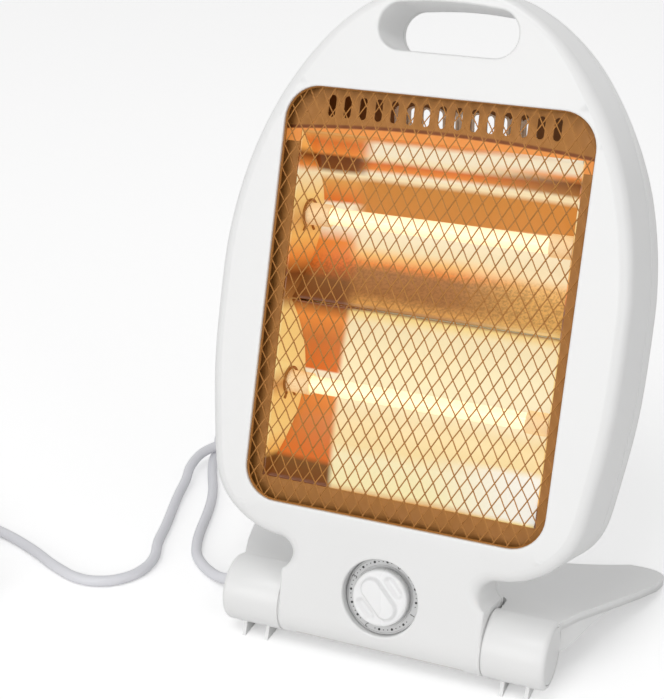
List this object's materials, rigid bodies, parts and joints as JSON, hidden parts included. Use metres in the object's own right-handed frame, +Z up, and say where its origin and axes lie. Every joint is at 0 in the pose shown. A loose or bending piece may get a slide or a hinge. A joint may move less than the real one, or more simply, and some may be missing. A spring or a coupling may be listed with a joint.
{
  "type": "halogen heater",
  "caption": "Tilting egg-shaped room heater on a flared floor stand, with glowing quartz tubes, reflectors, mesh guard, carrying slot and dial.",
  "frame": {"origin": "floor point under the middle of the heater's box, cord left out", "axes": "+X to the right seen from the front, +Y to the back, +Z up; the face looks along -Y"},
  "size_m": [0.5255, 0.3558, 0.3798],
  "materials": {
    "white_shell": "smooth moulded white plastic",
    "white_knob": "smooth white plastic",
    "zinc_steel": "zinc-plated steel",
    "black_plastic": "black plastic",
    "bronze_mesh": "bronze-coloured metal",
    "gold_reflector": "polished aluminium, gold in the glow",
    "quartz": "clear quartz",
    "filament": "glowing wound wire",
    "ceramic": "matt white ceramic",
    "silver_ring": "silver-grey painted plastic",
    "ivory_block": "ivory moulded plastic",
    "wire_sleeve": "braided glass sleeve",
    "cord_grey": "pale grey flexible cord",
    "brass_pins": "bright brass"
  },
  "bodies": {
    "stand": {"foot_plate": "white_shell", "drum_cap_left": "white_shell", "drum_cap_right": "white_shell", "pivot_bolt_left": "zinc_steel", "pivot_bolt_right": "zinc_steel", "pivot_nuts": "zinc_steel", "friction_washers": "black_plastic", "supply_lead": "wire_sleeve", "strain_relief": "cord_grey", "cord_run": "cord_grey", "cord_coil": "cord_grey", "cord_tie": "black_plastic", "plug_body": "cord_grey", "plug_pins": "brass_pins"},
    "housing": {"front_shell": "white_shell", "rear_cover": "white_shell", "hinge_plate_left": "zinc_steel", "hinge_plate_right": "zinc_steel", "grille": "bronze_mesh", "reflector_frame": "bronze_mesh", "reflector_upper": "gold_reflector", "reflector_lower": "gold_reflector", "reflector_end_left": "gold_reflector", "reflector_end_right": "gold_reflector", "heat_shield": "zinc_steel", "quartz_tube_upper": "quartz", "quartz_tube_lower": "quartz", "filament_upper": "filament", "filament_lower": "filament", "tube_caps_upper": "ceramic", "tube_caps_lower": "ceramic", "tube_bracket_left": "zinc_steel", "tube_bracket_right": "zinc_steel", "frame_screws": "zinc_steel", "cover_screws": "zinc_steel", "dial_ring": "silver_ring", "rotary_switch": "black_plastic", "tilt_bracket": "zinc_steel", "tilt_microswitch": "black_plastic", "thermal_cutout": "zinc_steel", "terminal_block": "ivory_block", "wiring": "wire_sleeve"},
    "dial": {"knob": "white_knob", "switch_shaft": "black_plastic"},
    "tip_switch": {"tilt_pendulum": "zinc_steel"}
  },
  "joints": [
    {"name": "body_tilt", "type": "hinge", "parent": "stand", "child": "housing", "pos_m": [0, -0.06439, 0.026], "axis": [-1, 0, 0], "range_deg": [-18, 12]},
    {"name": "dial_turn", "type": "hinge", "parent": "housing", "child": "dial", "pos_m": [0, -0.07328, 0.04718], "axis": [0, -0.9511, 0.309], "range_deg": [0, 120]},
    {"name": "tip_swing", "type": "hinge", "parent": "housing", "child": "tip_switch", "pos_m": [0.036, -0.044, 0.08877], "axis": [1, 0, 0], "range_deg": [-30, 30]}
  ]
}
